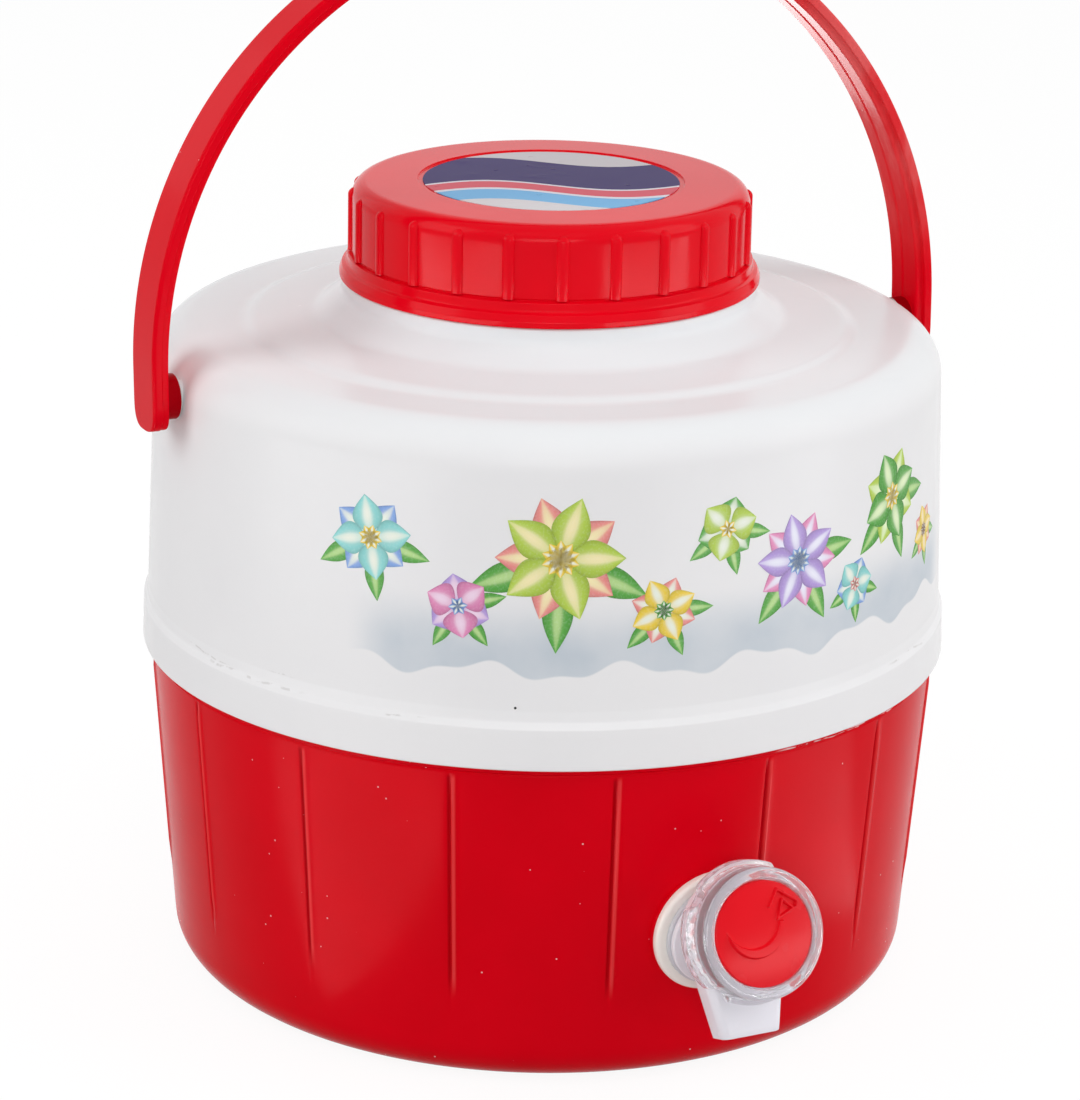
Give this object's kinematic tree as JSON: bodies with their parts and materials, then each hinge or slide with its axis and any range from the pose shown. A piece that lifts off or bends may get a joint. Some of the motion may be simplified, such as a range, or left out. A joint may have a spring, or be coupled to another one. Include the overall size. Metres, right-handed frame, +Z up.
{
  "type": "insulated water jug",
  "caption": "Round insulated drink jug with a screw lid, swinging bail handle and a push-through tap with a turning knob.",
  "frame": {"origin": "centre of the foot ring, on the surface that the jug stands on", "axes": "+Z up along the jug's axis, the tap faces -Y, the handle turns about an axis along X"},
  "size_m": [0.2618, 0.2833, 0.3301],
  "materials": {
    "red_plastic": "glossy injection-moulded red",
    "white_plastic": "glossy white",
    "liner_plastic": "smooth white",
    "foam": "matt cellular foam",
    "label_film": "silver-white printed film",
    "seal_rubber": "soft matt",
    "ivory_rubber": "soft matt ivory",
    "clear_plastic": "clear polystyrene",
    "screw_steel": "plated"
  },
  "bodies": {
    "jug": {"outer_body": "red_plastic", "top_shell": "white_plastic", "inner_liner": "liner_plastic", "foam_insulation": "foam", "foam_fill_plug": "red_plastic", "pivot_stud_left": "red_plastic", "pivot_stud_right": "red_plastic", "pivot_washer_left": "seal_rubber", "pivot_washer_right": "seal_rubber", "tap_body": "white_plastic", "tap_gasket": "ivory_rubber", "tap_collar": "white_plastic", "wall_sleeve": "liner_plastic", "tap_inner_washer": "seal_rubber", "tap_nut": "white_plastic"},
    "bail": {"handle": "red_plastic"},
    "valve": {"valve_rotor": "white_plastic", "rotor_seals": "seal_rubber", "knob_ring": "clear_plastic", "knob_disc": "red_plastic", "knob_screw": "screw_steel"},
    "lifted_gasket": {"rim_gasket": "seal_rubber"},
    "raised_seal": {"plug_seal": "seal_rubber"},
    "lid": {"lid_cap": "red_plastic", "lid_plug": "liner_plastic", "lid_foam": "foam", "lid_label": "label_film"}
  },
  "joints": [
    {"name": "handle_swing", "type": "hinge", "parent": "jug", "child": "bail", "pos_m": [0, 0, 0.1908], "axis": [1, 0, 0], "range_deg": [-102.7, 107.3]},
    {"name": "knob_turn", "type": "hinge", "parent": "jug", "child": "valve", "pos_m": [0, -0.11864, 0.0486], "axis": [0, -0.9432, 0.3322], "range_deg": [0, 90]},
    {"name": "lid_lift", "type": "slide", "parent": "jug", "child": "lifted_gasket", "axis": [0, 0, 1], "range_m": [0, 0.05]},
    {"name": "lid_rise", "type": "slide", "parent": "lifted_gasket", "child": "raised_seal", "axis": [0, 0, 1], "range_m": [0, 0.00625]},
    {"name": "lid_turn", "type": "hinge", "parent": "raised_seal", "child": "lid", "pos_m": [0, 0, 0.2166], "axis": [0, 0, 1], "range_deg": [0, 450]}
  ],
  "couplings": [
    {"joint": "lid_rise", "follows": "lid_turn", "m_per_rad": 0.00079577}
  ]
}
